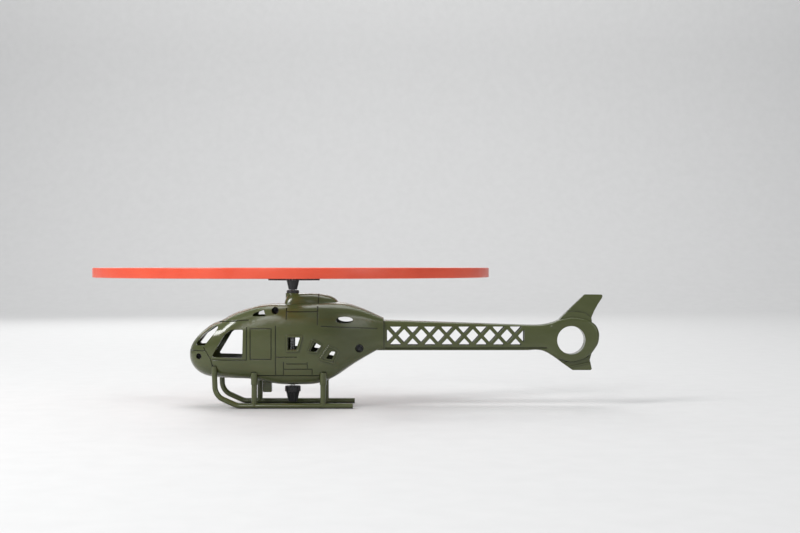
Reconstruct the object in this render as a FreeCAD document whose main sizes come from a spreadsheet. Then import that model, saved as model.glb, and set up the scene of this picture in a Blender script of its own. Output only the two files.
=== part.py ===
"""Toy helicopter with a ring rotor: two half shells, skids, mast, hub, drive plug and rotor.

Millimetres.  The nose points to -X, the tail to +X and the mast is vertical.  Shapes are drawn
with the mast axis at x = 0, and every sub-part's Placement then moves it along X so that the
origin is the middle of the whole toy's footprint, on the surface that the skids stand on.
"""
import FreeCAD, Part
import math
import os
from collections import namedtuple

from FreeCAD import Placement, Rotation, Vector

LEFT, RIGHT = -1, 1

# alias: value, in mm, degrees or a count
DIMENSIONS = {
    "ring_radius": 125,
    "ring_band": 2.6,
    "ring_wall": 1.3,
    "ring_depth": 6,
    "ring_floor": 82.3,
    "blade_root": 22,
    "blade_pitch": 15,
    "blade_thick": 1.4,
    "blade_count": 3,
    "hub_plate": 4.4,
    "slot_radius": 12.2,
    "slot_long": 5.1,
    "slot_wide": 3.6,
    "slot_clearance": 0.3,
    "tail_reach": 198,
    "wall_thick": 1.4,
    "groove_deep": 0.45,
    "groove_wide": 0.55,
    "frame_proud": 0.6,
    "mast_radius": 1.5,
    "running_gap": 0.05,
    "mast_foot": 5,
    "mast_top": 80,
    "bush_radius": 4,
    "bush_spigot": 2.95,
    "bush_deep": 4.4,
    "bush_floor": 72.15,
    "bush_flange": 1.9,
    "arm_top": 81.65,
    "arm_thick": 1.5,
    "arm_reach": 19,
    "tooth_proud": 1.9,
    "crown_radius": 3.45,
    "crown_top": 85.1,
    "hub_foot": 74.35,
    "plug_radius": 4.95,
    "plug_top": 12.9,
    "plug_foot": 2.9,
    "skid_radius": 1.7,
    "skid_track": 17.3,
    "skid_aft": 39,
    "strut_front": -22.8,
    "strut_rear": 20.3,
    "strut_radius": 1.75,
    "strut_top": 22.6,
    "knuckle_foot": 15,
    "knuckle_radius": 2.1,
    "socket_fit": 0.05,
    "fenestron_x": 177.5,
    "fenestron_z": 42.2,
    "fenestron_bore": 9,
    "shroud_half": 4.8,
    "shoulder_half": 3.2,
    "fin_half": 1.9,
    "fin_rib_half": 2.4,
    "screw_head": 1.75,
    "screw_cap": 1.3,
    "screw_recess": 0.6,
    "screw_shank": 0.95,
    "screw_seat": 6,
    "screw_long": 13,
}

# One cross-section of a moulded form: its place along X, its top, the height where it is widest,
# its bottom, its half width, and how square its upper and lower corners are (2 is an ellipse).
Station = namedtuple("Station", "x top waist bottom half upper lower")

CABIN = (
    Station(-65.3, 35.2, 33, 30.8, 3.4, 2.0, 2.0),
    Station(-64.3, 39.3, 33, 27.4, 7.2, 2.1, 2.1),
    Station(-62.3, 42.6, 33, 24.5, 10.4, 2.3, 2.2),
    Station(-59.0, 46.3, 34, 21.7, 13.4, 2.5, 2.4),
    Station(-54.0, 50.6, 35, 19.6, 16.2, 2.7, 2.7),
    Station(-48.5, 53.8, 36, 18.8, 18.3, 2.9, 3.0),
    Station(-44.5, 55.2, 36, 18.5, 19.2, 3.1, 3.3),
    Station(-41.0, 57.3, 37, 18.4, 19.7, 3.3, 3.5),
    Station(-35.0, 60.2, 38, 18.2, 20, 3.7, 3.8),
    Station(-27.0, 62.8, 38, 17.9, 20, 4.1, 4.0),
    Station(-19.0, 64.8, 38, 16.6, 20, 4.4, 4.2),
    Station(-8.0, 65.5, 38, 14.7, 20, 4.5, 4.5),
    Station(6.0, 65.8, 38, 14.4, 20, 4.5, 4.5),
    Station(17.0, 66.3, 38, 15.2, 19.7, 4.3, 4.3),
    Station(24.0, 66.6, 39, 17.6, 18.7, 4.0, 4.0),
    Station(30.0, 66.3, 40, 20.9, 17.2, 3.8, 3.8),
    Station(36.0, 65.2, 42, 25.1, 15.2, 3.7, 3.7),
    Station(44.4, 62.4, 44, 30.4, 12.2, 3.8, 3.8),
    Station(52.0, 59.1, 45, 34.8, 9.8, 4.2, 4.2),
    Station(58.0, 56.4, 45, 35.5, 8.3, 4.8, 4.8),
)

COWLING = (
    Station(-4.9, 66.8, 61, 56, 6.5, 2.6, 2),
    Station(-3.8, 69.6, 61, 56, 8.0, 2.8, 2),
    Station(-1.4, 71.5, 61, 56, 9.0, 3.0, 2),
    Station(5.8, 72.1, 61, 56, 9.5, 3.2, 2),
    Station(13.0, 72.1, 61, 56, 9.5, 3.2, 2),
    Station(21.0, 71.2, 61, 56, 8.8, 3.0, 2),
    Station(26.4, 69.2, 61, 56, 7.2, 2.8, 2),
    Station(29.0, 66.4, 61, 56, 4.8, 2.6, 2),
)

BOOM = (
    Station(50.0, 55.4, 45.3, 35.7, 7.0, 7, 7),
    Station(150.0, 51.9, 43.7, 35.7, 5.2, 7, 7),
)

NECK = (
    Station(150.0, 51.9, 43.7, 35.7, 5.2, 7, 7),
    Station(155.0, 51.9, 43.4, 36.0, 5.1, 6, 6),
    Station(160.0, 52.3, 43.1, 35.2, 5.0, 5, 5),
    Station(165.0, 53.4, 42.7, 32.6, 4.9, 5, 5),
    Station(170.0, 55.0, 42.2, 29.4, 4.8, 5, 5),
)

# Side outlines (x, z) of the openings, which all face straight out to the sides.
WINDSHIELD = ((-61, 39.4), (-54.4, 39.4), (-47.2, 48.2), (-45.6, 51), (-47.4, 52), (-55.8, 46.3))
COCKPIT_WINDOW = ((-49.5, 32.5), (-30.1, 31.8), (-29.7, 49.6), (-37.4, 49.4), (-41.3, 46.3))
SIDE_WINDOWS = (
    ((-1.4, 44.7), (6, 44.7), (3.6, 37.2), (-1.4, 37.2)),
    ((15.3, 41.6), (19.1, 39.5), (15.8, 35.7), (12.3, 36.2)),
    ((25.6, 35.9), (28, 35.7), (25.8, 30.8), (22, 31.6)),
)
WINDOW_FRAMES = (
    ((-2.8, 46), (7.9, 46), (5.1, 35.6), (-2.8, 35.6)),
    ((13.6, 43.8), (20.1, 40.5), (16.9, 34.6), (10.4, 35.6)),
    ((23.9, 40), (30.7, 36.2), (27.2, 27.6), (17.7, 30.8)),
)
ROOF_SLOT = ((-24, 57.9), (-23.1, 59.7), (-16.9, 61.9), (-15.6, 57.9))
DOOR = ((-25.1, 31), (-12, 31), (-12, 50.2), (-25.1, 50.2))
UPPER_FIN = ((168, 50), (171.5, 56.6), (175, 60.4), (178.6, 63.9), (186.4, 71.3), (198, 71.2),
             (197.3, 68.8), (194.7, 65), (192.5, 60.9), (191, 57.5), (188, 48))
LOWER_FIN = ((164, 33.6), (171.4, 28.1), (178.6, 23), (191.1, 23), (189.6, 29.6), (191.5, 36))
SHROUD = ((162, 37.5), (168.5, 31), (176.5, 28), (184.5, 29.4), (190.8, 33.8), (195, 40),
          (195.7, 46.5), (193.6, 52), (187.5, 55.7), (178, 57), (170, 55.3), (162, 51.5))
SHOULDER = ((167, 52), (172, 57.4), (174.8, 60.1), (181, 60.3), (186.5, 59.3), (190.6, 56.2), (191, 50))
FIN_RIBS = (((173.6, 27.4), (189, 31)), ((176.6, 25), (190, 27.9)))

# Panel lines as (x, z) ends.
PANEL_LINES = (
    ((-2.6, 56), (-2.6, 63)),
    ((16.8, 52.5), (16.8, 64)),
    ((-2.6, 60.7), (16.8, 60.7)),
    ((-9.3, 21), (-9.3, 52)),
    ((-4.3, 21), (-4.3, 29.4)),
    ((10.6, 24.9), (10.6, 29.2)),
    ((13.6, 21), (13.6, 24.9)),
    ((19, 51.7), (54, 49.8)),
    ((-9.3, 32.4), (4, 32.4)),
    ((-2.6, 28.2), (10.6, 28.2)),
    ((-4.3, 24.9), (13.6, 24.9)),
    ((-23, 20.8), (18.5, 20.8)),
    ((-49.5, 30.6), (-27.4, 30.6)),
    ((-27.4, 30.6), (-27.4, 51)),
    ((-46, 54.1), (-26, 55.6)),
    ((-64.8, 36.2), (-53.2, 36.2)),
    ((-54.8, 38.4), (-50.4, 31.5)),
    ((-50.4, 31.5), (-47.6, 22)),
)
BOOM_LINE = ((59, 37.3), (162, 37.3))
COWLING_LINE = ((16.8, 65.5), (16.8, 73))

LATTICE_START, LATTICE_END = 60.2, 147.6
LATTICE_FLOOR, LATTICE_TOP = 39.1, 50.9
LATTICE_BAYS = 8
LATTICE_BAR = 2.1

Screw = namedtuple("Screw", "x z hole boss")
SCREWS = (
    Screw(-58.1, 32.6, 1.85, 3.2),
    Screw(-9.8, 61.4, 2.2, 3.3),
    Screw(42.9, 37.5, 2.6, 4.0),
)

FRONT_ANCHOR_X = -48.0
FRONT_ANCHOR_TOP = 26.5
RAIL_TOE = (-33, -47.2, 8)  # where the rail starts to rise, and the x and z of its bend
RAIL_BEND = 9
LUG = (-19, -13.4, 9, 2.4)  # start and end along X, underside, half width

OUTSIDE = 30  # further out than any wall
SHROUD_EDGE = 1.9
RIM_SHARE = 0.78  # a window frame's inner outline, as a share of its outer one

os.makedirs("parts", exist_ok=True)
doc = FreeCAD.newDocument("toy_helicopter")
sheet = doc.addObject("Spreadsheet::Sheet", "Dimensions")
for row, (alias, value) in enumerate(DIMENSIONS.items(), 1):
    sheet.set(f"A{row}", alias)
    sheet.set(f"B{row}", str(value))
    sheet.setAlias(f"B{row}", alias)
doc.recompute()

SIDE_PLANE = Rotation(Vector(1, 0, 0), 90)    # sketch x to X, sketch y to Z
CROSS_PLANE = Rotation(Vector(1, 1, 1), 120)  # sketch x to Y, sketch y to Z
ARM_TURN = Rotation(Vector(0, 0, 1), 30)      # hub and rotor rest with one arm straight to the left


def size(alias):
    """One driving dimension, read back from the sheet."""
    return float(sheet.get(alias))


# ---------------------------------------------------------------- outlines

def closed(points):
    """Straight edges round a closed outline."""
    corners = [Vector(a, b, 0) for a, b in points]
    return [Part.LineSegment(a, b) for a, b in zip(corners, corners[1:] + corners[:1])]


def rounded(points, radius):
    """The same outline with each corner turned into an arc."""
    corners = [Vector(a, b, 0) for a, b in points]
    ends = []
    arcs = []
    for index, corner in enumerate(corners):
        back = corners[index - 1] - corner
        ahead = corners[(index + 1) % len(corners)] - corner
        half_angle = back.getAngle(ahead) / 2
        reach = min(radius / math.tan(half_angle), 0.45 * back.Length, 0.45 * ahead.Length)
        start = corner + back.normalize() * reach
        end = corner + ahead.normalize() * reach
        true_radius = reach * math.tan(half_angle)
        toward_centre = (back + ahead).normalize()
        middle = corner + toward_centre * (true_radius / math.sin(half_angle) - true_radius)
        arcs.append(Part.Arc(start, middle, end))
        ends.append((start, end))
    lines = [Part.LineSegment(ends[i - 1][1], ends[i][0]) for i in range(len(ends))]
    return [edge for pair in zip(lines, arcs) for edge in pair]


def bent(points, radius):
    """An open path of straight runs with an arc at each inner corner."""
    edges = rounded(points, radius)
    first = Part.LineSegment(Vector(*points[0], 0), edges[2].EndPoint)
    last = Part.LineSegment(edges[-3].EndPoint, Vector(*points[-1], 0))
    return [first] + edges[3:-2] + [last]


def shrunk(points, share):
    """The same outline drawn smaller about its middle."""
    middle_x = sum(x for x, _ in points) / len(points)
    middle_z = sum(z for _, z in points) / len(points)
    return [(middle_x + share * (x - middle_x), middle_z + share * (z - middle_z)) for x, z in points]


def strip(start, end, width):
    """Corners of a thin straight strip between two points."""
    along = Vector(end[0] - start[0], end[1] - start[1], 0).normalize()
    across = Vector(-along.y, along.x, 0) * width / 2
    first, last = Vector(*start, 0), Vector(*end, 0)
    corners = (first - across, last - across, last + across, first + across)
    return [(corner.x, corner.y) for corner in corners]


def half_section(station, inset):
    """Half a cross-section, on the left: a squared-off ellipse above the waist, another below."""
    half = station.half - inset
    outline = []
    for rise, square in ((station.top - inset - station.waist, station.upper),
                         (station.bottom + inset - station.waist, station.lower)):
        points = []
        for step in range(9):
            angle = math.radians(90 * step / 8)
            across = 0 if step == 0 else half * math.sin(angle) ** (2 / square)
            up = 0 if step == 8 else rise * math.cos(angle) ** (2 / square)
            points.append(Vector(LEFT * across, station.waist + up, 0))
        quarter = Part.BSplineCurve()
        quarter.interpolate(Points=points, InitialTangent=Vector(LEFT, 0, 0),
                            FinalTangent=Vector(0, -math.copysign(1, rise), 0))
        outline.append(quarter)
    top = Vector(0, station.top - inset, 0)
    bottom = Vector(0, station.bottom + inset, 0)
    return outline + [Part.LineSegment(bottom, top)]


# ---------------------------------------------------------------- solids of the Part workbench

def sketch(name, rotation, place, edges):
    item = doc.addObject("Sketcher::SketchObject", name)
    item.Placement = Placement(place, rotation)
    item.addGeometry(edges, False)
    return item


def moulded(name, stations, inset=0.0):
    """A form lofted through its stations, or the form that lies a skin's thickness inside it."""
    nose = stations[0].x
    sections = []
    for number, station in enumerate(stations):
        closeness = max(0, 1 - (station.x - nose) / 15)
        x = station.x + inset * closeness
        edges = half_section(station, inset)
        sections.append(sketch(f"{name}_{number}", CROSS_PLANE, Vector(x, 0, 0), edges))
    loft = doc.addObject("Part::Loft", name)
    loft.Sections = sections
    loft.Solid = True
    return loft


def side_prism(name, outlines, inner, outer):
    """Outlines seen from the left, made solid between two distances from the middle plane."""
    edges = [edge for outline in outlines for edge in outline]
    base = sketch(f"{name}_outline", SIDE_PLANE, Vector(0, LEFT * inner, 0), edges)
    prism = doc.addObject("Part::Extrusion", name)
    prism.Base = base
    prism.DirMode = "Custom"
    prism.Dir = Vector(0, LEFT, 0)
    prism.LengthFwd = outer - inner
    prism.Solid = True
    return prism


def side_cylinder(name, x, z, radius, inner, outer, side=LEFT):
    """A round bar that runs out sideways from the middle plane."""
    bar = doc.addObject("Part::Cylinder", name)
    bar.Radius = radius
    bar.Height = outer - inner
    bar.Placement = Placement(Vector(x, side * inner, z), Rotation(Vector(1, 0, 0), -90 * side))
    return bar


def upright(name, x, y, low, high, radius):
    bar = doc.addObject("Part::Cylinder", name)
    bar.Radius = radius
    bar.Height = high - low
    bar.Placement = Placement(Vector(x, y, low), Rotation())
    return bar


def half_upright(name, low, high, radius):
    """The left half of a bar on the mast axis."""
    bar = upright(name, 0, 0, low, high, radius)
    bar.Angle = 180
    bar.Placement = Placement(Vector(0, 0, low), Rotation(Vector(0, 0, 1), 180))
    return bar


def fuse(name, shapes):
    item = doc.addObject("Part::MultiFuse", name)
    item.Shapes = shapes
    return item


def cut(name, base, *tools):
    """Take the tools away one after another.  The last result has the name."""
    for number, tool in enumerate(tools, 1):
        item = doc.addObject("Part::Cut", name if number == len(tools) else f"{name}_{number}")
        item.Base = base
        item.Tool = tool
        base = item
    return base


def common(name, base, tool):
    item = doc.addObject("Part::Common", name)
    item.Base = base
    item.Tool = tool
    return item


# ---------------------------------------------------------------- fuselage shells

def lattice_openings():
    """The holes that leave one X of bars in each bay of the boom."""
    pitch = (LATTICE_END - LATTICE_START) / LATTICE_BAYS
    middle = (LATTICE_TOP + LATTICE_FLOOR) / 2
    rise = (LATTICE_TOP - LATTICE_FLOOR) / 2
    slope = rise / (pitch / 2)
    lift = LATTICE_BAR / 2 * math.hypot(1, slope)
    tall = rise - lift
    wide = tall / slope
    holes = []
    for bay in range(LATTICE_BAYS):
        start = LATTICE_START + bay * pitch
        centre = start + pitch / 2
        for way in (1, -1):
            holes.append(((centre - wide, middle + way * rise), (centre + wide, middle + way * rise),
                          (centre, middle + way * lift)))
        if bay > 0:
            holes.append(((start - wide, middle), (start, middle + tall),
                          (start + wide, middle), (start, middle - tall)))
    for edge, way in ((LATTICE_START, 1), (LATTICE_END, -1)):
        holes.append(((edge, middle + tall), (edge + way * wide, middle), (edge, middle - tall)))
    return [rounded(hole, 0.35) for hole in holes]


def window_frames():
    """A thin raised rim round each side window, which follows the skin."""
    proud_skin = moulded("proud_skin", CABIN, -size("frame_proud"))
    rims = [rounded(rim, 0.6) + rounded(shrunk(rim, RIM_SHARE), 0.5) for rim in WINDOW_FRAMES]
    return common("frames", side_prism("frame_bars", rims, 3, OUTSIDE), proud_skin)


def tail_form():
    """Boom, neck, round-edged fenestron shroud, and both fins with shoulder and ribs."""
    half = size("shroud_half")
    shroud = side_prism("shroud", [rounded(SHROUD, 9)], 0, half)
    shroud.setExpression("LengthFwd", "Dimensions.shroud_half")
    doc.recompute()
    soft_shroud = doc.addObject("Part::Fillet", "soft_shroud")
    soft_shroud.Base = shroud
    soft_shroud.Edges = [(number, SHROUD_EDGE, SHROUD_EDGE)
                         for number, edge in enumerate(shroud.Shape.Edges, 1)
                         if abs(edge.CenterOfMass.y) > half - 0.1]
    fins = side_prism("fins", [rounded(UPPER_FIN, 1.2), rounded(LOWER_FIN, 1.0)],
                      0, size("fin_half"))
    shoulder = side_prism("shoulder", [rounded(SHOULDER, 2)], 0, size("shoulder_half"))
    ribs = [side_prism(f"fin_rib_{number}", [closed(strip(*ends, 0.9))], 0, size("fin_rib_half"))
            for number, ends in enumerate(FIN_RIBS)]
    boom = moulded("boom", BOOM)
    return fuse("tail", [boom, moulded("neck", NECK), soft_shroud, fins, shoulder] + ribs)


def outer_form(skin):
    """A shell's outside: cabin, cowling, window frames, tail and the lug under the belly."""
    start, end, low, half = LUG
    lug = side_prism("lug", [rounded(((start, low), (end, low), (end, 17), (start, 17)), 0.6)],
                     0, half)
    cabin = fuse("cabin", [skin, moulded("cowling", COWLING)])
    return fuse("outside", [cabin, tail_form(), lug, window_frames()])


def hollows():
    """The spaces inside the shell."""
    wall = size("wall_thick")
    return (moulded("cabin_hollow", CABIN[:-1], wall), moulded("cowling_hollow", COWLING[1:-1], wall),
            moulded("boom_hollow", BOOM, wall))


def inner_supports(skin):
    """Screw bosses, mast seats and strut sockets inside the skin."""
    bosses = [side_cylinder(f"boss_{number}", screw.x, screw.z, screw.boss, 0, 25)
              for number, screw in enumerate(SCREWS)]
    track = LEFT * size("skid_track")
    sockets = [upright(f"socket_boss_{number}", x, track, 12, 26, size("knuckle_radius") + 1.3)
               for number, x in enumerate((size("strut_front"), size("strut_rear")))]
    sockets.append(upright("anchor_boss", FRONT_ANCHOR_X, track, 15, 29, size("skid_radius") + 1.3))
    lower_seat = half_upright("lower_seat", 12, 22, 4.2)
    inside = common("supports", fuse("support_bars", bosses + sockets + [lower_seat]), skin)
    return [inside, half_upright("upper_seat", 60, size("bush_floor"), 4.6)]


def side_openings():
    """Windows, lattice, slot, intake and fenestron bore."""
    outlines = [rounded(WINDSHIELD, 0.8), rounded(COCKPIT_WINDOW, 0.8), rounded(ROOF_SLOT, 0.4),
                [Part.Ellipse(Vector(33.6, 55.4, 0), 5.3, 2.1)]]
    outlines += [rounded(window, 0.4) for window in SIDE_WINDOWS]
    outlines += lattice_openings()
    bore = side_cylinder("fenestron", size("fenestron_x"), size("fenestron_z"),
                         size("fenestron_bore"), -1, OUTSIDE)
    bore.setExpression("Radius", "Dimensions.fenestron_bore")
    return [side_prism("openings", outlines, -1, OUTSIDE), bore]


def grooves(name, lines, stations):
    """Thin grooves that follow a moulded form's side."""
    wide = size("groove_wide")
    bars = [side_prism(f"{name}_{number}", [closed(strip(*line, wide))], 3, OUTSIDE)
            for number, line in enumerate(lines)]
    if len(bars) > 1:
        bars = [fuse(f"{name}_bars", bars)]
    return cut(name, bars[0], moulded(f"{name}_floor", stations, size("groove_deep")))


def panel_grooves():
    """The cabin's panel lines and door outline, and one line each on the boom and the cowling."""
    cabin_lines = PANEL_LINES + tuple(zip(DOOR, DOOR[1:] + DOOR[:1]))
    return [grooves("cabin_grooves", cabin_lines, CABIN), grooves("boom_groove", [BOOM_LINE], BOOM),
            grooves("cowling_groove", [COWLING_LINE], COWLING)]


def mast_and_skid_bores():
    """The mast's bore, the bush's bore and the sockets that the skid's ends fill."""
    fit = size("socket_fit")
    shaft = upright("mast_bore", 0, 0, 8, 80, size("mast_radius") + size("running_gap"))
    bush_end = size("bush_floor") - size("bush_deep") - 0.15
    bush = upright("bush_bore", 0, 0, bush_end, 80, size("bush_spigot") + fit)
    flange_seat = upright("flange_seat", 0, 0, size("bush_floor"), 80, size("bush_radius") + 0.3)
    track = LEFT * size("skid_track")
    sockets = [upright(f"strut_socket_{number}", x, track, 8, size("strut_top") + fit,
                       size("knuckle_radius") + fit)
               for number, x in enumerate((size("strut_front"), size("strut_rear")))]
    anchor = upright("anchor_socket", FRONT_ANCHOR_X, track, 8, FRONT_ANCHOR_TOP + fit,
                     size("skid_radius") + fit)
    return [fuse("bores", [shaft, bush, flange_seat]), anchor] + sockets


def half_shell():
    """The left shell without its screw holes, which the right shell mirrors."""
    skin = moulded("skin", CABIN)
    hollowed = cut("hollowed", outer_form(skin), *hollows())
    filled = fuse("filled", [hollowed] + inner_supports(skin))
    return cut("half_shell", filled, *side_openings(), *mast_and_skid_bores(), *panel_grooves())


def fuselage(left_label, right_label):
    """Both shells.  The left one takes the screws' heads, the right one their threads."""
    seat, shank = size("screw_seat"), size("screw_shank")
    left = half_shell()
    right = doc.addObject("Part::Mirroring", "mirrored_shell")
    right.Source = left
    right.Normal = Vector(0, 1, 0)
    clear_holes = []
    pilot_holes = []
    for number, screw in enumerate(SCREWS):
        head = side_cylinder(f"head_hole_{number}", screw.x, screw.z, screw.hole, seat, OUTSIDE)
        stem = side_cylinder(f"stem_hole_{number}", screw.x, screw.z, shank + 0.2, -1, seat + 1)
        clear_holes.append(fuse(f"clear_hole_{number}", [head, stem]))
        pilot_holes.append(side_cylinder(f"pilot_hole_{number}", screw.x, screw.z, shank, -1,
                                         size("screw_long") - seat + 0.5, RIGHT))
    left = cut(left_label, left, *clear_holes)
    right = cut(right_label, right, *pilot_holes)
    return [placed(left, left_label), placed(right, right_label)]


# ---------------------------------------------------------------- PartDesign bodies

def placed(item, label, y="0 mm"):
    """Move a finished sub-part from the mast's frame to the toy's own."""
    item.Label = label
    item.setExpression("Placement.Base.x", "(Dimensions.ring_radius - Dimensions.tail_reach) / 2")
    item.setExpression("Placement.Base.y", y)
    return item


def origin_item(body, role):
    return next(item for item in body.Origin.OriginFeatures if item.Role == role)


def body_sketch(body, name, role, edges, offset=None, bound=None):
    """A sketch on one of the body's own origin planes, offset along its normal by a binding."""
    item = body.newObject("Sketcher::SketchObject", name)
    item.AttachmentSupport = (origin_item(body, role), [""])
    item.MapMode = "FlatFace"
    if offset is not None:
        item.AttachmentOffset = offset
    if bound:
        item.setExpression("AttachmentOffset.Base.z", bound)
    item.addGeometry(edges, False)
    return item


def pad(body, name, profile, length, midplane=False):
    item = body.newObject("PartDesign::Pad", name)
    item.Profile = profile
    if isinstance(length, str):
        item.setExpression("Length", length)
    else:
        item.Length = length
    item.Midplane = midplane
    return item


def pocket(body, name, profile, length, downward=True):
    """A pocket, with a check that it took something away."""
    doc.recompute()
    before = body.Shape.Volume
    item = body.newObject("PartDesign::Pocket", name)
    item.Profile = profile
    item.Length = length
    item.Reversed = not downward
    doc.recompute()
    if body.Shape.Volume > before - 0.01:
        raise RuntimeError(f"{body.Name}: {name} cut nothing")
    return item


def turned(body, name, profile_points):
    """A solid of revolution about Z from a side profile of (radius, height) points."""
    profile = body_sketch(body, f"{name}_profile", "XZ_Plane", closed(profile_points))
    item = body.newObject("PartDesign::Revolution", name)
    item.Profile = profile
    item.ReferenceAxis = (profile, ["V_Axis"])
    item.Angle = 360
    return item


def around(body, name, features, count):
    """Repeat features evenly about the body's Z axis."""
    item = body.newObject("PartDesign::PolarPattern", name)
    item.Originals = features
    item.Axis = (origin_item(body, "Z_Axis"), [""])
    item.Angle = 360
    item.Occurrences = count
    body.Tip = item
    return item


def rectangle(x_low, x_high, y_low, y_high):
    return ((x_low, y_low), (x_high, y_low), (x_high, y_high), (x_low, y_high))


def circle(x, y, radius):
    return Part.Circle(Vector(x, y, 0), Vector(0, 0, 1), radius)


def skid(label, side):
    """One landing skid: a rail that curls up to the nose, and two struts with knuckles."""
    body = doc.addObject("PartDesign::Body", label)
    radius = size("skid_radius")
    toe_x, bend_x, bend_z = RAIL_TOE
    route = ((size("skid_aft"), radius), (toe_x, radius), (bend_x, bend_z),
             (FRONT_ANCHOR_X, FRONT_ANCHOR_TOP))
    path = body_sketch(body, f"{label}_route", "XZ_Plane", bent(route, RAIL_BEND))
    profile = body_sketch(body, f"{label}_round", "YZ_Plane", [circle(0, radius, radius)],
                          bound="Dimensions.skid_aft")
    rail = body.newObject("PartDesign::AdditivePipe", f"{label}_rail")
    rail.Profile = profile
    rail.Spine = path
    rail.Transition = "Round corner"
    for name in ("front", "rear"):
        x = size(f"strut_{name}")
        strut = body_sketch(body, f"{label}_{name}_strut", "XY_Plane",
                            [circle(x, 0, size("strut_radius"))], bound="Dimensions.skid_radius")
        pad(body, f"{label}_{name}_post", strut, "Dimensions.knuckle_foot")
        knuckle = body_sketch(body, f"{label}_{name}_round", "XY_Plane",
                              [circle(x, 0, size("knuckle_radius"))], bound="Dimensions.knuckle_foot")
        pad(body, f"{label}_{name}_knuckle", knuckle, "Dimensions.strut_top - Dimensions.knuckle_foot")
    return placed(body, label, f"{side} * Dimensions.skid_track")


def mast(label):
    """The steel shaft between the drive plug and the rotor hub."""
    body = doc.addObject("PartDesign::Body", label)
    radius, foot, top = size("mast_radius"), size("mast_foot"), size("mast_top")
    turned(body, "mast_bar", ((0, foot), (radius - 0.3, foot), (radius, foot + 0.3),
                              (radius, top - 0.3), (radius - 0.3, top), (0, top)))
    return placed(body, label)


def mast_bush(label):
    """The flanged bush that carries the mast at the top of the cowling."""
    body = doc.addObject("PartDesign::Body", label)
    bore = size("mast_radius") + size("running_gap")
    floor, radius, spigot = size("bush_floor"), size("bush_radius"), size("bush_spigot")
    end, top = floor - size("bush_deep"), floor + size("bush_flange")
    turned(body, "bush_ring", ((bore, end), (spigot, end), (spigot, floor), (radius, floor),
                               (radius, top - 0.5), (radius - 0.5, top), (bore, top)))
    return placed(body, label)


def rotor_hub(label):
    """The black hub: ribbed stem, three arms with teeth, and a notched crown."""
    body = doc.addObject("PartDesign::Body", label)
    shaft, crown, arm = size("mast_radius"), size("crown_radius"), size("arm_top")
    foot, top, roof = size("hub_foot"), size("mast_top"), size("crown_top")
    turned(body, "hub_core", ((shaft, foot), (2.3, foot), (3.6, arm - 1.5), (4.2, arm - 1.5),
                              (4.2, arm), (crown, arm), (crown, roof - 0.4), (crown - 0.4, roof),
                              (0, roof), (0, top), (shaft, top)))
    rib = body_sketch(body, "rib_side", "XZ_Plane", closed(
        ((1.9, foot), (2.7, foot), (4.2, arm - 1.2), (3, arm - 1.2))))
    rib_pad = pad(body, "rib", rib, 0.9, midplane=True)
    around(body, "ribs", [rib_pad], 8)
    reach = size("arm_reach")
    arm_outline = rounded(((2, -1.7), (14.6, -1.4), (reach, -0.7), (reach, 0.7),
                           (14.6, 1.4), (2, 1.7)), 0.6)
    arm_floor = "Dimensions.arm_top - Dimensions.arm_thick"
    arm_sketch = body_sketch(body, "arm_outline", "XY_Plane", arm_outline, bound=arm_floor)
    arm_pad = pad(body, "arm", arm_sketch, "Dimensions.arm_thick")
    radius, clearance = size("slot_radius"), size("slot_clearance")
    half_wide = size("slot_wide") / 2 - clearance
    half_long = size("slot_long") / 2 - clearance
    tooth_outline = rounded(rectangle(radius - half_wide, radius + half_wide, -half_long, half_long), 0.5)
    tooth_sketch = body_sketch(body, "tooth_outline", "XY_Plane", tooth_outline, bound=arm_floor)
    tooth_pad = pad(body, "tooth", tooth_sketch, "Dimensions.arm_thick + Dimensions.tooth_proud")
    around(body, "arms", [arm_pad, tooth_pad], 3)
    notch = body_sketch(body, "notch_outline", "XY_Plane", closed(rectangle(2.0, 5, -0.6, 0.6)),
                        bound="Dimensions.crown_top")
    notch_cut = pocket(body, "notch", notch, 1.6)
    around(body, "notches", [notch_cut], 6)
    placed(body, label).Placement.Rotation = ARM_TURN
    return body


def drive_plug(label):
    """The ribbed plug under the belly, which the launcher turns."""
    body = doc.addObject("PartDesign::Body", label)
    rim, top, foot = size("plug_radius"), size("plug_top"), size("plug_foot")
    shaft = size("mast_radius")
    turned(body, "plug_core", ((0, foot), (2.3, foot), (3.7, top - 3.9), (rim - 0.5, top - 3.7),
                               (rim - 0.5, top), (shaft, top), (shaft, size("mast_foot")),
                               (0, size("mast_foot"))))
    rib = body_sketch(body, "plug_rib_side", "XZ_Plane", closed(
        ((1.5, foot), (2.8, foot), (4.25, top - 3.7), (rim, top - 3.4), (rim, top - 0.3),
         (rim - 0.3, top), (2, top), (2, top - 3.5))))
    rib_pad = pad(body, "plug_rib", rib, 1.1, midplane=True)
    around(body, "plug_ribs", [rib_pad], 10)
    return placed(body, label)


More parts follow.
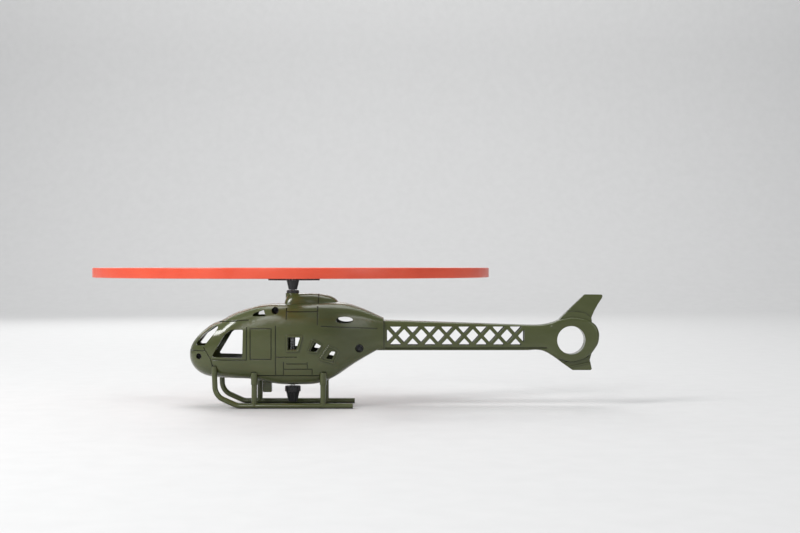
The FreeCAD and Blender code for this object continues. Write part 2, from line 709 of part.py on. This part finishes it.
def ring_rotor(label):
    """The orange rotor, one moulding: outer ring, three pitched blades and a three-armed plate."""
    body = doc.addObject("PartDesign::Body", label)
    radius, floor, depth = size("ring_radius"), size("ring_floor"), size("ring_depth")
    wall, band = size("ring_wall"), size("ring_band")
    turned(body, "ring", ((radius - wall, floor), (radius, floor), (radius, floor + depth),
                          (radius - band, floor + depth), (radius - band, floor + depth - wall),
                          (radius - wall, floor + depth - wall)))
    root, thick, pitch = size("blade_root"), size("blade_thick"), size("blade_pitch")
    tip = radius - 0.9
    blade_outline = rounded(((root, -9), (tip - 42, -9.2), (tip - 24, -8.4), (tip - 15, -6),
                             (tip - 7, -6.2), (tip, -8.4), (tip, 7), (root, 9)), 1.5)
    lean = Placement(Vector(0, -5.2, floor + depth / 2), Rotation(Vector(1, 0, 0), pitch))
    blade_sketch = body_sketch(body, "blade_outline", "XY_Plane", blade_outline, lean)
    blade = pad(body, "blade", blade_sketch, thick, midplane=True)
    blade.setExpression("Length", "Dimensions.blade_thick")
    around(body, "blades", [blade], int(size("blade_count")))
    arm_outline = rounded(((-2.5, -4.4), (17, -4.4), (root + 4, -9.5), (root + 4, 3.2), (17.5, 4.4),
                           (16.4, 6.4), (8.6, 6.4), (7.4, 4.4), (-2.5, 4.4)), 1.0)
    plate_floor = "Dimensions.arm_top + Dimensions.socket_fit"
    arm_sketch = body_sketch(body, "plate_outline", "XY_Plane", arm_outline, bound=plate_floor)
    arm = pad(body, "plate_arm", arm_sketch, "Dimensions.hub_plate")
    around(body, "plate", [arm], int(size("blade_count")))
    slot_x, half_wide, half_long = size("slot_radius"), size("slot_wide") / 2, size("slot_long") / 2
    slot_outline = closed(rectangle(slot_x - half_wide, slot_x + half_wide, -half_long, half_long))
    slot_sketch = body_sketch(body, "slot_outline", "XY_Plane", slot_outline, bound=plate_floor)
    slot = pocket(body, "slot", slot_sketch, 2 * size("hub_plate"), downward=False)
    around(body, "slots", [slot], int(size("blade_count")))
    socket_sketch = body_sketch(body, "socket_outline", "XY_Plane",
                                [circle(0, 0, size("crown_radius") + 0.1)], bound=plate_floor)
    crown_rise = size("crown_top") - size("arm_top")
    body.Tip = pocket(body, "crown_socket", socket_sketch, crown_rise + 0.15, downward=False)
    placed(body, label).Placement.Rotation = ARM_TURN
    return body


def screw_recess(number, screw, length, height):
    """One bar of the cross in a screw's head."""
    face = size("screw_seat") + size("screw_cap")
    bar = doc.addObject("Part::Box", f"screw_recess_{number}")
    bar.Length, bar.Width, bar.Height = length, 1, height
    corner = Vector(screw.x - length / 2, size("screw_recess") - face - 1, screw.z - height / 2)
    bar.Placement = Placement(corner, Rotation())
    return bar


def shell_screws(label):
    """Three identical self-tapping screws, each a solid of its own."""
    head, shank = size("screw_head"), size("screw_shank")
    seat, length = size("screw_seat"), size("screw_long")
    screws = []
    for number, screw in enumerate(SCREWS):
        cap = side_cylinder(f"screw_head_{number}", screw.x, screw.z, head, seat,
                            seat + size("screw_cap"))
        stem = side_cylinder(f"screw_stem_{number}", screw.x, screw.z, shank,
                             seat - length, seat + 0.5)
        stem.setExpression("Radius", "Dimensions.screw_shank")
        cross = [screw_recess(f"{number}_{way}", screw, *bar)
                 for way, bar in enumerate(((2.2, 0.5), (0.5, 2.2)))]
        blank = fuse(f"screw_blank_{number}", [cap, stem])
        screws.append(cut(f"screw_{number}", blank, fuse(f"screw_drive_{number}", cross)))
    group = doc.addObject("Part::Compound", label)
    group.Links = screws
    return placed(group, label)


SUB_PARTS = fuselage("fuselage_left", "fuselage_right") + [
    skid("skid_left", LEFT),
    skid("skid_right", RIGHT),
    mast_bush("mast_bush"),
    mast("mast"),
    rotor_hub("rotor_hub"),
    drive_plug("drive_plug"),
    ring_rotor("ring_rotor"),
    shell_screws("shell_screws"),
]
doc.recompute()

for item in doc.Objects:
    if "Invalid" in item.State or "Error" in item.State:
        raise RuntimeError(f"{item.Name} failed: {item.State}")
for part in SUB_PARTS:
    if part.Shape.isNull() or not part.Shape.isValid():
        raise RuntimeError(f"{part.Label} has no valid shape")
for part in SUB_PARTS:
    box = part.Shape.BoundBox
    print(f"{part.Label}: {len(part.Shape.Solids)} solids, {part.Shape.Volume:.0f} mm3, "
          f"x {box.XMin:.1f} {box.XMax:.1f}  y {box.YMin:.1f} {box.YMax:.1f}  "
          f"z {box.ZMin:.1f} {box.ZMax:.1f}")
    part.Shape.exportStep(f"parts/{part.Label}.step")
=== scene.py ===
"""Looks for the toy helicopter: the moulded rotor, materials, studio and camera round the CAD frame."""

import math

import bmesh
import bpy
from mathutils import Matrix, Vector


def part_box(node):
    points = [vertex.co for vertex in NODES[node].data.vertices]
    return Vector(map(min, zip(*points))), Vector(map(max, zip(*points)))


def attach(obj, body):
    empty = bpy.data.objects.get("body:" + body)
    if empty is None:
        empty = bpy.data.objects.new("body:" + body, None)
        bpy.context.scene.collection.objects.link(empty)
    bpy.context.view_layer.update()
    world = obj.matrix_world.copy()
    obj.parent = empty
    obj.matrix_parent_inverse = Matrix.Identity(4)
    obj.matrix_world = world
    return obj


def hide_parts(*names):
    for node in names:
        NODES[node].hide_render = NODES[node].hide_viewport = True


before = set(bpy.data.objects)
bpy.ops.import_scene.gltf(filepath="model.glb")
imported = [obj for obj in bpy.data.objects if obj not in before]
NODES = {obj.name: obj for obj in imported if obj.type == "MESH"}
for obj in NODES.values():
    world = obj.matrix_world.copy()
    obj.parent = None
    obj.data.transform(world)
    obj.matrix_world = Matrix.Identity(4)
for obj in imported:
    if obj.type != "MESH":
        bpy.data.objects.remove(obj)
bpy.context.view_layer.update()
scene = bpy.context.scene
MM = 0.001


def middle(node):
    """The middle of a CAD node's box."""
    low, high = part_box(node)
    return (low + high) / 2


# Places that the frame gives, in metres.
MAST = Vector((middle("mast").x, middle("mast").y, 0))
ROTOR_LOW, ROTOR_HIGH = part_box("ring_rotor")
RING_RADIUS = (ROTOR_HIGH.y - ROTOR_LOW.y) / 2

# The ring: an upright wall with a flat band turned in at its top.
RING_DEPTH = 6 * MM
RING_WALL = 1.3 * MM
RING_BAND = 2.6 * MM
RING_ROUNDING = 0.5 * MM
RING_SEGMENTS = 240

# The blades.  Everywhere below, a distance runs out from the mast along the middle line of a blade's
# arm, and across is measured at right angles to that line.
BLADE_COUNT = 3
BLADE_TURNS = [2 * math.pi * number / BLADE_COUNT for number in range(BLADE_COUNT)]
FIRST_BLADE = math.radians(30)
BLADE_PITCH = math.radians(13.5)
PITCH_AXIS_ACROSS = -5.2 * MM
PITCH_AXIS_HEIGHT = ROTOR_HIGH.z - RING_DEPTH / 2 - 0.2 * MM
BLADE_THICK = 1.4 * MM
BLADE_CAMBER = 0.5 * MM
BLADE_LIP = 0.35 * MM
BLADE_LIP_WIDTH = 1.1 * MM
BLADE_SECTIONS = 60
SECTION_POINTS = 32
# Exponents under 1 square a section off: a little along the chord, more on the skins.
CHORD_SQUARENESS, SKIN_SQUARENESS = 0.8, 0.45
# Distances, and edges as (distance, across) stations, in mm.
BLADE_ROOT, BLADE_WAIST, BLADE_TIP = 20.5, 110, 124.2
TRAILING_EDGE = ((BLADE_ROOT, -13.6), (88, -15.6), (BLADE_WAIST, -11.6), (120.5, -15.2), (BLADE_TIP, -15.2))
LEADING_EDGE = ((BLADE_ROOT, 3.6), (BLADE_TIP, 0.5))

# The pads that tie the blades' ends to the ring.
PAD_REACH = 4.4 * MM
PAD_TRAILING, PAD_MIDDLE, PAD_LEADING = -15.2 * MM, -8 * MM, -1.2 * MM
PAD_TAPER = 0.6 * MM
PAD_TOP = ROTOR_HIGH.z - 0.1 * MM
PAD_THICK = 2.1 * MM
PAD_ROUNDING = 1.0 * MM
PAD_EDGE = 0.3 * MM

# The plate on the hub.  Outlines are of the arm that points along x, in mm.
PLATE_TOP = ROTOR_LOW.z + 4.4 * MM
PLATE_ARM = ((2.55, -4.4), (14.5, -4.6), (19, -6.8), (24.2, -5.2), (25.4, -1.0), (23.6, 2.8), (18.6, 4.4),
             (16.6, 6.3), (8.8, 6.3), (7.2, 4.4))
PLATE_SLOT = ((10.4, -2.55), (10.4, 2.55), (14.0, 2.55), (14.0, -2.55))
PLATE_ROUNDING, SLOT_ROUNDING = 1.6 * MM, 0.4 * MM
PLATE_EDGE = 0.35 * MM

# The round caps on the plate's arms, over the blades' roots.
CAP_START, CAP_MIDDLE = 14.5 * MM, 18.0 * MM
CAP_RADIUS = 6.7 * MM
CAP_ACROSS = -1.2 * MM
CAP_FOOT = PLATE_TOP - 1.5 * MM
CAP_ROOF = ROTOR_HIGH.z - 0.15 * MM
CAP_ROUNDING = 0.9 * MM
CAP_NECK = 0.78
CAP_STEPS = 24

# Edges sharper than this stay sharp, and points closer than this are one point.
SHARP_ANGLE = math.radians(40)
WELD_DISTANCE = 1e-7


# ---------------------------------------------------------------- node helpers

def new_material(name):
    """A material, its node tree and its shader."""
    material = bpy.data.materials.new(name)
    material.use_nodes = True
    tree = material.node_tree
    return material, tree, tree.nodes["Principled BSDF"]


def add_node(tree, kind, **settings):
    """A shader node.  Settings named in_... are values of its input sockets."""
    node = tree.nodes.new(kind)
    for key, value in settings.items():
        if key.startswith("in_"):
            node.inputs[key[3:].replace("_", " ")].default_value = value
        else:
            setattr(node, key, value)
    return node


def object_position(tree, stretch=(1, 1, 1)):
    """Rest coordinates of the surface in metres, stretched to suit a direction."""
    source = add_node(tree, "ShaderNodeTexCoord")
    mapping = add_node(tree, "ShaderNodeMapping", in_Scale=stretch)
    tree.links.new(source.outputs["Object"], mapping.inputs["Vector"])
    return mapping.outputs["Vector"]


def noise(tree, place, scale, detail=3.0, roughness=0.5):
    """Cloudy texture values round 0.5."""
    node = add_node(tree, "ShaderNodeTexNoise", in_Scale=scale, in_Detail=detail, in_Roughness=roughness)
    tree.links.new(place, node.inputs["Vector"])
    return node.outputs["Fac"]


def spread(tree, value, low, high, start=0.3, end=0.7):
    """Map a texture value between start and end to the range from low to high."""
    node = add_node(tree, "ShaderNodeMapRange", in_From_Min=start, in_From_Max=end,
                    in_To_Min=low, in_To_Max=high)
    tree.links.new(value, node.inputs["Value"])
    return node.outputs["Result"]


def blend_colours(tree, factor, first, second):
    """A mix of two colours, each a tuple or an output socket."""
    node = add_node(tree, "ShaderNodeMix", data_type="RGBA")
    factor_input, first_input, second_input, colour_output = 0, 6, 7, 2
    for socket, colour in ((first_input, first), (second_input, second)):
        if isinstance(colour, tuple):
            node.inputs[socket].default_value = (*colour, 1)
        else:
            tree.links.new(colour, node.inputs[socket])
    tree.links.new(factor, node.inputs[factor_input])
    return node.outputs[colour_output]


def soft_edges(tree, radius):
    """Normals rounded over the edges, as every moulded corner is."""
    return add_node(tree, "ShaderNodeBevel", samples=6, in_Radius=radius).outputs["Normal"]


def bump(tree, height, strength, distance, normal=None):
    """Normals that follow a height, on top of others when they are given."""
    node = add_node(tree, "ShaderNodeBump", in_Strength=strength, in_Distance=distance)
    tree.links.new(height, node.inputs["Height"])
    if normal is not None:
        tree.links.new(normal, node.inputs["Normal"])
    return node.outputs["Normal"]


def occlusion_shade_mask(tree, reach):
    """Ambient occlusion: 1 in the open, falling towards 0 in grooves and inside corners, used to paint
    shade there.
    """
    return add_node(tree, "ShaderNodeAmbientOcclusion", samples=8, in_Distance=reach).outputs["AO"]


def parting_line(tree, half_width):
    """1 on the middle plane, where the two shells meet, and 0 beside it."""
    source = add_node(tree, "ShaderNodeTexCoord")
    axes = add_node(tree, "ShaderNodeSeparateXYZ")
    tree.links.new(source.outputs["Object"], axes.inputs["Vector"])
    off_plane = add_node(tree, "ShaderNodeMath", operation="ABSOLUTE")
    tree.links.new(axes.outputs["Y"], off_plane.inputs[0])
    core = 0.4 * half_width
    return spread(tree, off_plane.outputs["Value"], 1, 0, core, half_width)


# ---------------------------------------------------------------- materials

def olive_plastic():
    """Glossy moulded styrene: flow marks, faint mould texture, painted shade in grooves, a parting line."""
    material, tree, shader = new_material("olive_moulded_plastic")
    dark, light, streak = (0.052, 0.062, 0.018), (0.066, 0.077, 0.024), (0.086, 0.097, 0.040)
    groove_painted_shade, seam_shade = (0.012, 0.015, 0.006), (0.018, 0.023, 0.009)
    place = object_position(tree)
    cloudy = noise(tree, place, 28, 4)
    flow = noise(tree, object_position(tree, (0.35, 1, 1.6)), 90, 5, 0.6)
    base = blend_colours(tree, spread(tree, cloudy, 0, 1), dark, light)
    tint = blend_colours(tree, spread(tree, flow, 0, 0.35, 0.45, 0.75), base, streak)
    # Painted shade: the darkest green is mixed in where ambient occlusion finds grooves and inside corners.
    openness = spread(tree, occlusion_shade_mask(tree, 1.6 * MM), 0, 1, 0.25, 0.85)
    shaded = blend_colours(tree, openness, groove_painted_shade, tint)
    seam = parting_line(tree, 0.22 * MM)
    tree.links.new(blend_colours(tree, seam, shaded, seam_shade), shader.inputs["Base Color"])
    tree.links.new(spread(tree, flow, 0.15, 0.27), shader.inputs["Roughness"])
    shader.inputs["Specular IOR Level"].default_value = 0.55
    peel = noise(tree, place, 420, 2)
    grain = noise(tree, place, 2600, 2)
    normal = bump(tree, peel, 0.09, 0.5 * MM, soft_edges(tree, 0.5 * MM))
    normal = bump(tree, grain, 0.05, 0.1 * MM, normal)
    tree.links.new(bump(tree, seam, -0.6, 0.15 * MM, normal), shader.inputs["Normal"])
    return material


def orange_plastic():
    """Slightly translucent moulded polypropylene, with painted shade darkening its inside corners."""
    material, tree, shader = new_material("orange_moulded_plastic")
    dark, light, corner = (0.68, 0.072, 0.030), (0.76, 0.100, 0.046), (0.42, 0.030, 0.012)
    place = object_position(tree)
    cloudy = noise(tree, place, 35, 4)
    base = blend_colours(tree, spread(tree, cloudy, 0, 1), dark, light)
    # Painted shade: the deep corner orange is mixed in where ambient occlusion finds inside corners.
    openness = spread(tree, occlusion_shade_mask(tree, 1.5 * MM), 0, 1, 0.3, 0.9)
    tree.links.new(blend_colours(tree, openness, corner, base), shader.inputs["Base Color"])
    tree.links.new(spread(tree, noise(tree, place, 140, 4), 0.28, 0.42), shader.inputs["Roughness"])
    shader.inputs["Subsurface Weight"].default_value = 0.15
    shader.inputs["Subsurface Radius"].default_value = (1.0, 0.25, 0.1)
    shader.inputs["Subsurface Scale"].default_value = 1.2 * MM
    peel = noise(tree, place, 600, 3)
    tree.links.new(bump(tree, peel, 0.15, 0.3 * MM), shader.inputs["Normal"])
    return material


def black_plastic():
    """Acetal of the hub, plug and bush, with a fine grain."""
    material, tree, shader = new_material("black_moulded_plastic")
    dark, light = (0.010, 0.010, 0.011), (0.021, 0.021, 0.023)
    place = object_position(tree)
    base = blend_colours(tree, spread(tree, noise(tree, place, 160, 4), 0, 1), dark, light)
    tree.links.new(base, shader.inputs["Base Color"])
    tree.links.new(spread(tree, noise(tree, place, 300, 3), 0.26, 0.42), shader.inputs["Roughness"])
    grain = noise(tree, place, 1800, 3)
    tree.links.new(bump(tree, grain, 0.12, 0.2 * MM, soft_edges(tree, 0.2 * MM)), shader.inputs["Normal"])
    return material


def steel():
    """Drawn steel with fine rings round the shaft."""
    material, tree, shader = new_material("drawn_steel")
    dark, light = (0.52, 0.52, 0.53), (0.62, 0.61, 0.60)
    lines = noise(tree, object_position(tree, (0.05, 0.05, 1)), 2500, 3)
    cloudy = noise(tree, object_position(tree), 200, 4)
    base = blend_colours(tree, spread(tree, cloudy, 0, 1), dark, light)
    tree.links.new(base, shader.inputs["Base Color"])
    shader.inputs["Metallic"].default_value = 1.0
    tree.links.new(spread(tree, lines, 0.20, 0.34), shader.inputs["Roughness"])
    tree.links.new(bump(tree, lines, 0.15, 0.1 * MM, soft_edges(tree, 0.1 * MM)), shader.inputs["Normal"])
    return material


def blackened_steel():
    """Oxidised steel of the screws, rubbed a little brighter in patches."""
    material, tree, shader = new_material("blackened_steel")
    dark, rubbed = (0.022, 0.022, 0.024), (0.11, 0.11, 0.115)
    place = object_position(tree)
    base = blend_colours(tree, spread(tree, noise(tree, place, 700, 3), 0, 1, 0.4, 0.75), dark, rubbed)
    tree.links.new(base, shader.inputs["Base Color"])
    shader.inputs["Metallic"].default_value = 1.0
    tree.links.new(spread(tree, noise(tree, place, 1500, 3), 0.28, 0.45), shader.inputs["Roughness"])
    grain = noise(tree, place, 2400, 2)
    tree.links.new(bump(tree, grain, 0.15, 0.1 * MM, soft_edges(tree, 0.1 * MM)), shader.inputs["Normal"])
    return material


def floor_paper():
    """Matt pale grey, very slightly uneven."""
    material, tree, shader = new_material("studio_paper")
    dark, light = (0.60, 0.60, 0.595), (0.62, 0.62, 0.615)
    cloudy = noise(tree, object_position(tree), 60, 4)
    base = blend_colours(tree, spread(tree, cloudy, 0, 1), dark, light)
    tree.links.new(base, shader.inputs["Base Color"])
    shader.inputs["Roughness"].default_value = 0.85
    return material


def dress(material, *nodes):
    """Give CAD nodes a material."""
    for node in nodes:
        for slot in NODES[node].material_slots:
            slot.material = material


# ---------------------------------------------------------------- mesh helpers

def weld(bm):
    """Join points that coincide and turn every face outwards."""
    bmesh.ops.remove_doubles(bm, verts=bm.verts, dist=WELD_DISTANCE)
    bmesh.ops.recalc_face_normals(bm, faces=bm.faces)


def finished(name, bm, material, body, slot, *replaced):
    """Turn a bmesh into a piece that rides on a body and stands for its CAD nodes."""
    weld(bm)
    mesh = bpy.data.meshes.new(name)
    bm.to_mesh(mesh)
    bm.free()
    for face in mesh.polygons:
        face.use_smooth = True
    mesh.set_sharp_from_angle(angle=SHARP_ANGLE)
    mesh.materials.append(material)
    item = bpy.data.objects.new(name, mesh)
    scene.collection.objects.link(item)
    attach(item, body)
    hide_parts(*replaced)


def united(base, additions):
    """One closed skin from two bmeshes whose shells run into one another."""
    items = []
    for bm in (base, additions):
        weld(bm)
        mesh = bpy.data.meshes.new("union_part")
        bm.to_mesh(mesh)
        bm.free()
        items.append(bpy.data.objects.new("union_part", mesh))
        scene.collection.objects.link(items[-1])
    union = items[0].modifiers.new("union", "BOOLEAN")
    union.operation = "UNION"
    union.solver = "EXACT"
    union.use_self = True
    union.object = items[1]
    evaluated = items[0].evaluated_get(bpy.context.evaluated_depsgraph_get())
    whole = bpy.data.meshes.new_from_object(evaluated)
    result = bmesh.new()
    result.from_mesh(whole)
    # Removing a mesh or a curve also removes the object that shows it.
    for mesh in [whole] + [item.data for item in items]:
        bpy.data.meshes.remove(mesh)
    return result


def rounded_outline(corners, radius, steps=4):
    """A closed outline whose corners are turned into short curves."""
    side_share = 0.45
    points = []
    for index, corner in enumerate(corners):
        here = Vector(corner)
        back = Vector(corners[index - 1]) - here
        ahead = Vector(corners[(index + 1) % len(corners)]) - here
        start = here + back.normalized() * min(radius, side_share * back.length)
        end = here + ahead.normalized() * min(radius, side_share * ahead.length)
        for step in range(steps + 1):
            share = step / steps
            points.append(start * (1 - share) ** 2 + here * 2 * share * (1 - share) + end * share ** 2)
    return points


def lathe(bm, profile, segments):
    """A closed (radius, height) outline turned about the mast."""
    rings = []
    for step in range(segments):
        angle = 2 * math.pi * step / segments
        rings.append([bm.verts.new(MAST + Vector((r * math.cos(angle), r * math.sin(angle), z)))
                      for r, z in profile])
    for step, ring in enumerate(rings):
        following = rings[(step + 1) % segments]
        for index in range(len(profile)):
            after = (index + 1) % len(profile)
            bm.faces.new((ring[index], following[index], following[after], ring[after]))


def loft(bm, sections, matrix):
    """Closed sections of equal length joined one to the next, with a cap at each end."""
    loops = [[bm.verts.new(matrix @ point) for point in section] for section in sections]
    for first, second in zip(loops, loops[1:]):
        for index in range(len(first)):
            after = (index + 1) % len(first)
            bm.faces.new((first[index], first[after], second[after], second[index]))
    bm.faces.new(loops[0])
    bm.faces.new(reversed(loops[-1]))


def bevelled_plate(bm, outlines, low, high, edge, matrix):
    """Flat outlines, the later ones holes, made thick with rounded edges."""
    curve = bpy.data.curves.new("plate_outline", "CURVE")
    curve.dimensions = "2D"
    curve.fill_mode = "BOTH"
    curve.extrude = (high - low) / 2 - edge
    curve.bevel_depth = edge
    curve.bevel_resolution = 2
    curve.offset = -edge
    for outline in outlines:
        spline = curve.splines.new("POLY")
        spline.points.add(len(outline) - 1)
        for point, place in zip(spline.points, outline):
            point.co = (place[0], place[1], 0, 1)
        spline.use_cyclic_u = True
    shape = bpy.data.objects.new("plate_outline", curve)
    scene.collection.objects.link(shape)
    mesh = bpy.data.meshes.new_from_object(shape)
    mesh.transform(matrix @ Matrix.Translation((0, 0, (low + high) / 2)))
    bm.from_mesh(mesh)
    bpy.data.curves.remove(curve)
    bpy.data.meshes.remove(mesh)


def turn_about_mast(angle):
    """Places a shape drawn along x, with the mast at its origin, on the arm at an angle."""
    return Matrix.Translation(MAST) @ Matrix.Rotation(angle, 4, "Z")


# ---------------------------------------------------------------- the rotor

def eased(stations, place):
    """The value between stations of (place, value), level at each station and past the ends."""
    for first, second in zip(stations, stations[1:]):
        if place <= second[0]:
            share = max(0, (place - first[0]) / (second[0] - first[0]))
            share = share * share * (3 - 2 * share)
            return first[1] + (second[1] - first[1]) * share
    return stations[-1][1]


def on_circle(radius, across):
    """How far along the arm's line a point of a circle about the mast lies, from how far across it is."""
    return math.sqrt(radius ** 2 - across ** 2)


def squared(value, exponent):
    """A sine or cosine whose curve is made squarer by an exponent under 1."""
    return math.copysign(abs(value) ** exponent, value)


def blade_section(distance):
    """A cambered section with round edges and a lip along the leading one.

    As the section nears the ring it is bent to the ring's curve.
    """
    trailing = eased(TRAILING_EDGE, distance) * MM
    leading = eased(LEADING_EDGE, distance) * MM
    bend = eased(((BLADE_WAIST, 0), (BLADE_TIP, 1)), distance)
    reach = distance * MM
    centre, half = (trailing + leading) / 2, (leading - trailing) / 2
    points = []
    for step in range(SECTION_POINTS):
        angle = 2 * math.pi * step / SECTION_POINTS
        along_chord = squared(math.cos(angle), CHORD_SQUARENESS)
        across = centre + half * along_chord
        skin = squared(math.sin(angle), SKIN_SQUARENESS) * BLADE_THICK / 2
        height = PITCH_AXIS_HEIGHT + (across - PITCH_AXIS_ACROSS) * math.tan(BLADE_PITCH) + skin
        height += BLADE_CAMBER * (1 - along_chord ** 2)
        if skin > 0:
            height += BLADE_LIP * math.exp(-((leading - across) / BLADE_LIP_WIDTH) ** 2)
        curved = on_circle(reach, across)
        points.append(Vector((reach + bend * (curved - reach), across, height)))
    return points


def blade(bm, angle):
    """A pitched blade from under its cap to inside the ring's wall."""
    span = BLADE_TIP - BLADE_ROOT
    places = [BLADE_ROOT + span * step / BLADE_SECTIONS for step in range(BLADE_SECTIONS + 1)]
    loft(bm, [blade_section(place) for place in places], turn_about_mast(angle))


def ring_pad(bm, angle):
    """The block that ties a blade's end to the ring's top band."""
    inner, outer = RING_RADIUS - PAD_REACH, RING_RADIUS - RING_WALL / 2
    corners = [(inner, PAD_LEADING - PAD_TAPER), (inner, PAD_TRAILING + PAD_TAPER)]
    for across in (PAD_TRAILING, PAD_MIDDLE, PAD_LEADING):
        corners.append((on_circle(outer, across), across))
    outline = rounded_outline(corners, PAD_ROUNDING)
    bevelled_plate(bm, [outline], PAD_TOP - PAD_THICK, PAD_TOP, PAD_EDGE, turn_about_mast(angle))


def hub_plate(bm):
    """The three-armed plate: round ends over the blades, a cheek beside each slot."""
    corners, slots = [], []
    for angle in BLADE_TURNS:
        turn = Matrix.Rotation(angle, 2)
        corners += [turn @ Vector(point) * MM for point in PLATE_ARM]
        slot = [turn @ Vector(point) * MM for point in PLATE_SLOT]
        slots.append(rounded_outline(slot, SLOT_ROUNDING))
    outlines = [rounded_outline(corners, PLATE_ROUNDING)] + slots
    bevelled_plate(bm, outlines, ROTOR_LOW.z, PLATE_TOP, PLATE_EDGE, turn_about_mast(FIRST_BLADE))


def arm_cap(bm, angle):
    """The round end of an arm, which swells up from the plate and laps over its blade's root.

    The steps shorten towards the tip and stop just short of it, where the last section still has a width.
    """
    tip = CAP_MIDDLE + CAP_RADIUS
    almost_there = math.radians(88)
    sections = []
    for step in range(CAP_STEPS + 1):
        distance = CAP_START + (tip - CAP_START) * math.sin(almost_there * step / CAP_STEPS)
        beyond = max(0, distance - CAP_MIDDLE) / CAP_RADIUS
        swell = eased(((CAP_START, 0), (CAP_MIDDLE, 1)), distance)
        half = (CAP_NECK + (1 - CAP_NECK) * swell) * CAP_RADIUS * math.sqrt(1 - beyond ** 2)
        past = max(0, distance - tip + CAP_ROUNDING)
        drop = CAP_ROUNDING - math.sqrt(CAP_ROUNDING ** 2 - past ** 2)
        top = PLATE_TOP + swell * (CAP_ROOF - PLATE_TOP) - drop
        corners = ((CAP_ACROSS - half, CAP_FOOT), (CAP_ACROSS + half, CAP_FOOT),
                   (CAP_ACROSS + half, top), (CAP_ACROSS - half, top))
        outline = rounded_outline(corners, CAP_ROUNDING)
        sections.append([Vector((distance, *point)) for point in outline])
    loft(bm, sections, turn_about_mast(angle))


def ring_rotor(material):
    """Outer ring of L-section, three pitched blades and the plate that sits on the hub."""
    ring, inner_parts = bmesh.new(), bmesh.new()
    outer, high = RING_RADIUS, ROTOR_HIGH.z
    low = high - RING_DEPTH
    profile = ((outer - RING_WALL, low), (outer, low), (outer, high), (outer - RING_BAND, high),
               (outer - RING_BAND, high - RING_WALL), (outer - RING_WALL, high - RING_WALL))
    lathe(ring, rounded_outline(profile, RING_ROUNDING), RING_SEGMENTS)
    for turn in BLADE_TURNS:
        angle = FIRST_BLADE + turn
        blade(inner_parts, angle)
        arm_cap(inner_parts, angle)
        ring_pad(inner_parts, angle)
    hub_plate(inner_parts)
    moulding = united(ring, inner_parts)
    finished("ring_rotor_moulding", moulding, material, "rotor", "orange_plastic", "ring_rotor")


# ---------------------------------------------------------------- studio

def backdrop():
    """A floor that curves up into a wall well behind the toy."""
    front, back, bend, wall_top, half_width = -2.2, 1.7, 0.6, 2.6, 3.2
    steps = 12
    profile = [(front, 0.0), (back, 0.0)]
    for step in range(1, steps + 1):
        angle = math.pi / 2 * step / steps
        profile.append((back + bend * math.sin(angle), bend * (1 - math.cos(angle))))
    profile.append((back + bend, wall_top))
    points = [(x, y, z) for x in (-half_width, half_width) for y, z in profile]
    count = len(profile)
    faces = [(i, count + i, count + i + 1, i + 1) for i in range(count - 1)]
    mesh = bpy.data.meshes.new("studio_floor")
    mesh.from_pydata(points, [], faces)
    for face in mesh.polygons:
        face.use_smooth = True
    floor = bpy.data.objects.new("studio_floor", mesh)
    scene.collection.objects.link(floor)
    mesh.materials.append(floor_paper())


def area_light(name, place, width, height, power, target=(0, 0, 0.05)):
    """A soft light that faces the toy, or the wall behind it."""
    data = bpy.data.lights.new(name, "AREA")
    data.shape = "RECTANGLE"
    data.size, data.size_y = width, height
    data.energy = power
    light = bpy.data.objects.new(name, data)
    light.location = place
    light.rotation_euler = (Vector(target) - Vector(place)).to_track_quat("-Z", "Y").to_euler()
    light.visible_camera = False
    scene.collection.objects.link(light)


def studio():
    """Floor, soft lights and dim even surroundings.  Lights: place, width, height and power in watts."""
    backdrop()
    area_light("key", (-0.85, -0.55, 0.80), 0.40, 0.5, 12)
    area_light("gloss", (-0.22, -1.05, 0.48), 0.10, 0.40, 1.6)
    area_light("fill", (0.9, -1.0, 0.46), 0.25, 0.7, 2.4)
    area_light("top", (0.1, 0.25, 1.3), 1.0, 0.7, 7)
    area_light("back", (-0.4, 1.2, 0.7), 1.0, 0.6, 4)
    area_light("wall", (0, 1.3, 1.9), 2.4, 0.4, 26, (0, 2.3, 0.7))
    world = bpy.data.worlds.new("studio_air")
    world.use_nodes = True
    background = world.node_tree.nodes["Background"]
    background.inputs["Color"].default_value = (0.93, 0.95, 1.0, 1)
    background.inputs["Strength"].default_value = 0.36
    scene.world = world
    scene.view_settings.view_transform = "Standard"


def camera():
    """Straight on to the left side, at the height of the rotor and a little aft of the mast."""
    aft, distance, height = 0.0685, 0.85, 0.0891
    data = bpy.data.cameras.new("camera")
    data.sensor_width = 36
    data.lens = 59.8
    item = bpy.data.objects.new("camera", data)
    item.location = (MAST.x + aft, -distance, height)
    item.rotation_euler = (math.radians(90), 0, 0)
    scene.collection.objects.link(item)
    scene.camera = item


def dress_all():
    """Materials for the CAD nodes, and the rotor that stands for the CAD's own."""
    dress(olive_plastic(), "fuselage_left", "fuselage_right", "skid_left", "skid_right")
    dress(black_plastic(), "mast_bush", "rotor_hub", "drive_plug")
    dress(steel(), "mast")
    dress(blackened_steel(), "shell_screws")
    ring_rotor(orange_plastic())


camera()
dress_all()
studio()
